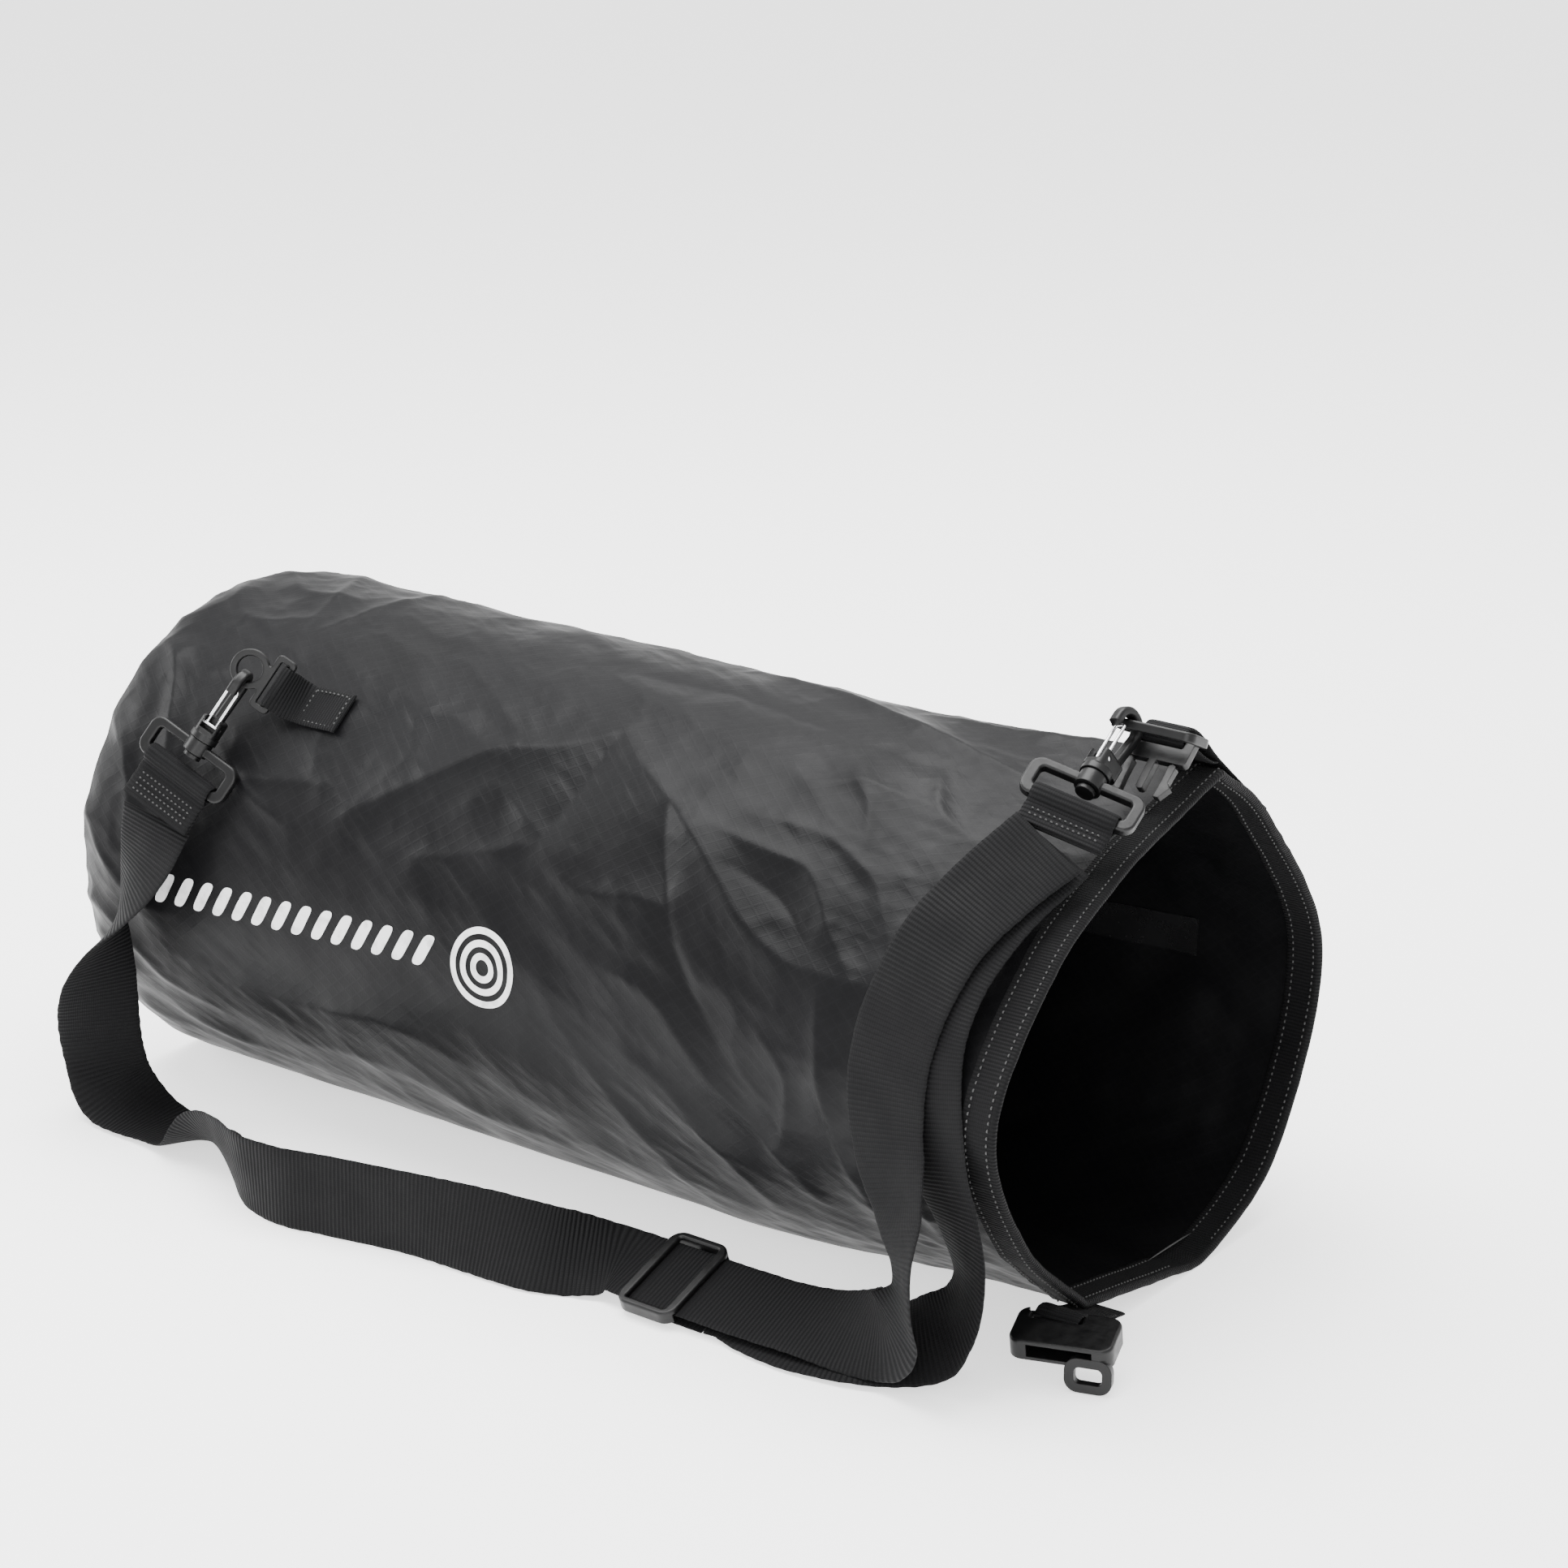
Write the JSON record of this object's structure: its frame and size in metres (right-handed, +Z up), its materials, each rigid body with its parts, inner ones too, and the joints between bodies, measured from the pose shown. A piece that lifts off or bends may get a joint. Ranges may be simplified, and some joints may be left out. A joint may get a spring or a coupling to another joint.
{
  "type": "roll-top tube bag",
  "caption": "Roll-top tube bag of coated fabric lying on its side, with a clip-on webbing shoulder strap, swivel snap hooks, a slider and a side-release buckle at its mouth.",
  "frame": {"origin": "on the floor, under the middle of the bag's flat underside", "axes": "+X along the bag from the base to the mouth; -Y to the side the strap lies on; +Z up"},
  "size_m": [0.5922, 0.3242, 0.2701],
  "materials": {
    "coated_fabric": "satin waterproof coating on ripstop cloth",
    "hem_webbing": "matte woven tape, stitched",
    "strap_webbing": "ribbed woven webbing",
    "moulded_plastic": "satin moulded plastic",
    "gate_wire": "bright spring wire",
    "seam_tape": "clear heat-sealed tape over the fabric"
  },
  "bodies": {
    "bag": {"bag_shell": "coated_fabric", "base_panel": "coated_fabric", "base_binding": "coated_fabric", "mouth_hem_front": "hem_webbing", "mouth_hem_back": "hem_webbing", "seam_tape": "seam_tape", "base_ring_tab": "hem_webbing", "lower_hook_frame": "moulded_plastic", "upper_hook_frame": "moulded_plastic", "lower_strap_fold": "strap_webbing", "upper_strap_fold": "strap_webbing", "shoulder_strap": "strap_webbing", "strap_return": "strap_webbing", "male_buckle": "moulded_plastic", "male_buckle_tab": "hem_webbing", "female_buckle_tab": "hem_webbing"},
    "lower_hook": {"lower_hook_body": "moulded_plastic"},
    "lower_gate": {"lower_hook_gate": "gate_wire"},
    "upper_hook": {"upper_hook_body": "moulded_plastic"},
    "upper_gate": {"upper_hook_gate": "gate_wire"},
    "base_ring": {"base_ring": "moulded_plastic"},
    "male_prong_left": {"male_prong_left": "moulded_plastic"},
    "male_prong_right": {"male_prong_right": "moulded_plastic"},
    "female_buckle": {"female_buckle": "moulded_plastic"},
    "slider": {"slider": "moulded_plastic", "slider_fold": "strap_webbing"}
  },
  "joints": [
    {"name": "lower_hook_swivel", "type": "hinge", "parent": "bag", "child": "lower_hook", "pos_m": [-0.202, -0.123, 0.1805], "axis": [0.323, 0.4991, 0.8041], "range_deg": [-4, 4]},
    {"name": "lower_gate_pivot", "type": "hinge", "parent": "lower_hook", "child": "lower_gate", "pos_m": [-0.19202, -0.11117, 0.20334], "axis": [0.8192, 0.2771, -0.5021], "range_deg": [-18, 0], "stiffness_Nm_per_rad": 0.05, "springref_deg": 11.46},
    {"name": "upper_hook_swivel", "type": "hinge", "parent": "bag", "child": "upper_hook", "pos_m": [0.2535, -0.041, 0.2365], "axis": [-0.058, 0.8618, 0.5039], "range_deg": [-5, 5]},
    {"name": "upper_gate_pivot", "type": "hinge", "parent": "upper_hook", "child": "upper_gate", "pos_m": [0.25131, -0.01845, 0.25225], "axis": [0.9642, -0.082, 0.2521], "range_deg": [-18, 0], "stiffness_Nm_per_rad": 0.05, "springref_deg": 11.46},
    {"name": "base_ring_pivot", "type": "hinge", "parent": "bag", "child": "base_ring", "pos_m": [-0.1689, -0.087, 0.21997], "axis": [0.323, 0.4991, 0.8041], "range_deg": [-1.5, 1.5]},
    {"name": "prong_left_flex", "type": "hinge", "parent": "bag", "child": "male_prong_left", "pos_m": [0.2525, 0.0047, 0.24546], "axis": [0, -0.6607, 0.7507], "range_deg": [0, 5], "stiffness_Nm_per_rad": 0.4},
    {"name": "prong_right_flex", "type": "hinge", "parent": "bag", "child": "male_prong_right", "pos_m": [0.2735, 0.0047, 0.24546], "axis": [0, -0.6607, 0.7507], "range_deg": [-5, 0], "stiffness_Nm_per_rad": 0.4},
    {"name": "female_buckle_swing", "type": "hinge", "parent": "bag", "child": "female_buckle", "pos_m": [0.27998, -0.0837, 0.02115], "axis": [-0.9515, -0.3072, -0.014], "range_deg": [0, 20]},
    {"name": "slider_slide", "type": "slide", "parent": "bag", "child": "slider", "axis": [1, 0, 0], "range_m": [-0.012, 0]}
  ],
  "couplings": [
    {"joint": "prong_right_flex", "follows": "prong_left_flex", "ratio": -1}
  ]
}
